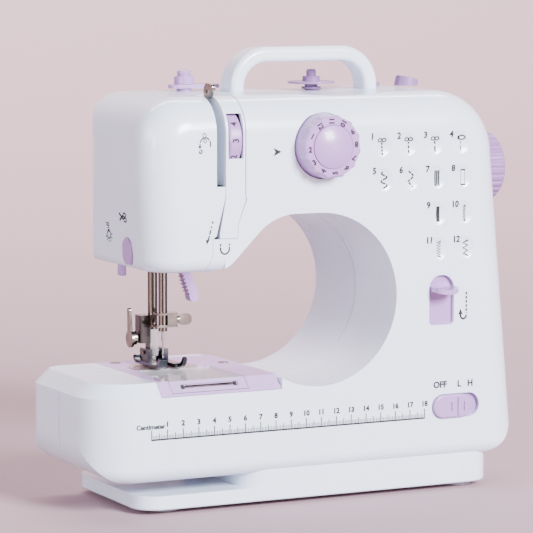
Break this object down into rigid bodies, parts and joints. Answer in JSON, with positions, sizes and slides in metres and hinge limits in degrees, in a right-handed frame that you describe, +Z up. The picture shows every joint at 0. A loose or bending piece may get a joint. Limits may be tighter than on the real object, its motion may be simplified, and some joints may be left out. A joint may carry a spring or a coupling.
{
  "type": "sewing machine",
  "caption": "Small portable household sewing machine with a round throat, carrying handle, stitch dial, reverse lever, speed switch and top-loading bobbin.",
  "frame": {"origin": "on the table, under the middle of the bounding box", "axes": "+Z up, +X towards the handwheel end, -Y towards the person sewing"},
  "size_m": [0.29, 0.12, 0.268],
  "materials": {
    "white_plastic": "glossy",
    "lilac_plastic": "glossy",
    "black_rubber": "matt",
    "pale_rubber": "matt",
    "grey_plastic": "satin",
    "dark_plastic": "satin",
    "clear_plastic": "clear",
    "steel": "satin",
    "chrome": "polished",
    "dark_chrome": "polished",
    "cast_metal": "satin",
    "green_board": "satin"
  },
  "bodies": {
    "casing": {"front_cover": "white_plastic", "rear_cover": "white_plastic", "face_cover": "white_plastic", "thread_guide_panel": "white_plastic", "base_plate": "white_plastic", "carry_handle": "white_plastic", "rubber_feet": "pale_rubber", "bed_trim": "lilac_plastic", "thread_cutter": "lilac_plastic", "spool_rest": "lilac_plastic", "winder_stop": "lilac_plastic", "thread_guide_plate": "lilac_plastic", "pretension_cap": "lilac_plastic", "bobbin_case": "dark_plastic", "lamp_lens": "clear_plastic", "bobbin_latch": "steel", "needle_plate": "steel", "plate_screws": "steel", "presser_spring": "steel", "machine_frame": "cast_metal", "head_frame": "cast_metal", "shaft_bearings": "cast_metal", "timing_belt": "black_rubber", "drive_belt": "black_rubber", "motor": "steel", "control_board": "green_board", "power_jacks": "dark_plastic", "rear_screws": "steel", "base_screws": "steel"},
    "drive_train": {"handwheel": "lilac_plastic", "main_shaft": "steel", "crank_disc": "cast_metal", "shaft_pulleys": "grey_plastic"},
    "motor_rotor": {"motor_pulley": "grey_plastic"},
    "lower_drive": {"lower_shaft": "steel", "timing_pulley_lower": "grey_plastic"},
    "hook": {"shuttle_hook": "steel"},
    "bobbin_spool": {"bobbin": "clear_plastic"},
    "needle_assembly": {"needle_bar": "chrome", "needle": "chrome", "needle_clamp": "steel"},
    "clamp_screw": {"needle_clamp_screw": "steel"},
    "take_up": {"take_up_lever": "steel"},
    "presser_bar_assembly": {"presser_bar": "chrome", "foot_holder": "steel", "foot_pin": "steel"},
    "thumb_screw": {"foot_thumb_screw": "steel"},
    "foot": {"presser_foot": "dark_chrome"},
    "lifter": {"presser_lifter": "lilac_plastic"},
    "selector": {"stitch_dial": "lilac_plastic", "stitch_cam_stack": "grey_plastic"},
    "reverse": {"reverse_lever": "lilac_plastic"},
    "speed": {"speed_switch": "lilac_plastic"},
    "lamp_button": {"light_button": "lilac_plastic"},
    "tension": {"tension_dial": "lilac_plastic"},
    "spool": {"spool_pin": "lilac_plastic"},
    "winder": {"winder_spindle": "lilac_plastic"},
    "bobbin_door": {"bobbin_cover": "clear_plastic"},
    "feed_slide": {"feed_bar": "cast_metal"},
    "feed_teeth": {"feed_dog": "steel"}
  },
  "joints": [
    {"name": "handwheel_turn", "type": "hinge", "parent": "casing", "child": "drive_train", "pos_m": [0, 0.005, 0.192], "axis": [1, 0, 0], "continuous": true},
    {"name": "motor_spin", "type": "hinge", "parent": "casing", "child": "motor_rotor", "pos_m": [0, 0.0308, 0.1], "axis": [1, 0, 0], "continuous": true},
    {"name": "lower_shaft_spin", "type": "hinge", "parent": "casing", "child": "lower_drive", "pos_m": [0, 0.005, 0.035], "axis": [1, 0, 0], "continuous": true},
    {"name": "hook_spin", "type": "hinge", "parent": "casing", "child": "hook", "pos_m": [-0.072, -0.0025, 0], "axis": [0, 0, 1], "continuous": true},
    {"name": "bobbin_spin", "type": "hinge", "parent": "casing", "child": "bobbin_spool", "pos_m": [-0.072, -0.0025, 0], "axis": [0, 0, 1], "continuous": true},
    {"name": "needle_bar_slide", "type": "slide", "parent": "casing", "child": "needle_assembly", "axis": [0, 0, 1], "range_m": [-0.02, 0.002]},
    {"name": "clamp_screw_turn", "type": "hinge", "parent": "needle_assembly", "child": "clamp_screw", "pos_m": [0, 0.015, 0.1062], "axis": [1, 0, 0], "range_deg": [0, 360]},
    {"name": "take_up_swing", "type": "hinge", "parent": "casing", "child": "take_up", "pos_m": [0, 0, 0.21], "axis": [1, 0, 0], "range_deg": [-10, 72]},
    {"name": "presser_bar_slide", "type": "slide", "parent": "casing", "child": "presser_bar_assembly", "axis": [0, 0, 1], "range_m": [0, 0.006], "deforming": ["presser_spring"]},
    {"name": "thumb_screw_turn", "type": "hinge", "parent": "presser_bar_assembly", "child": "thumb_screw", "pos_m": [0, 0.03, 0.0945], "axis": [1, 0, 0], "range_deg": [-100, 100]},
    {"name": "foot_tilt", "type": "hinge", "parent": "presser_bar_assembly", "child": "foot", "pos_m": [0, 0.028, 0.0856], "axis": [1, 0, 0], "range_deg": [-4, 1]},
    {"name": "lifter_turn", "type": "hinge", "parent": "casing", "child": "lifter", "pos_m": [-0.057, 0, 0.153], "axis": [0, -1, 0], "range_deg": [0, 70]},
    {"name": "stitch_dial_turn", "type": "hinge", "parent": "casing", "child": "selector", "pos_m": [0.0025, 0, 0.2117], "axis": [0, -1, 0], "continuous": true},
    {"name": "reverse_press", "type": "slide", "parent": "casing", "child": "reverse", "axis": [0, 0, -1], "range_m": [0, 0.014], "stiffness_N_per_m": 120, "springref_m": -0.004},
    {"name": "speed_select", "type": "slide", "parent": "casing", "child": "speed", "axis": [1, 0, 0], "range_m": [0, 0.0058]},
    {"name": "light_press", "type": "slide", "parent": "casing", "child": "lamp_button", "axis": [1, 0, 0], "range_m": [0, 0.0015], "stiffness_N_per_m": 400, "springref_m": -0.001},
    {"name": "tension_turn", "type": "hinge", "parent": "casing", "child": "tension", "pos_m": [0, -0.029, 0.2165], "axis": [1, 0, 0], "range_deg": [-140, 140]},
    {"name": "spool_pin_raise", "type": "slide", "parent": "casing", "child": "spool", "axis": [0, 0, 1], "range_m": [0, 0.03]},
    {"name": "winder_spin", "type": "hinge", "parent": "casing", "child": "winder", "pos_m": [0.078, 0.041, 0], "axis": [0, 0, 1], "continuous": true},
    {"name": "bobbin_cover_slide", "type": "slide", "parent": "casing", "child": "bobbin_door", "axis": [0, -1, 0], "range_m": [0, 0.052]},
    {"name": "feed_advance", "type": "slide", "parent": "casing", "child": "feed_slide", "axis": [0, 1, 0], "range_m": [-0.0015, 0.0015]},
    {"name": "feed_lift", "type": "slide", "parent": "feed_slide", "child": "feed_teeth", "axis": [0, 0, 1], "range_m": [0, 0.0012]}
  ],
  "couplings": [
    {"joint": "motor_spin", "follows": "handwheel_turn", "ratio": 3.0909},
    {"joint": "lower_shaft_spin", "follows": "handwheel_turn", "ratio": 1},
    {"joint": "hook_spin", "follows": "handwheel_turn", "ratio": 2},
    {"joint": "take_up_swing", "follows": "needle_bar_slide", "rad_per_m": -57},
    {"joint": "lifter_turn", "follows": "presser_bar_slide", "rad_per_m": 203.6}
  ]
}
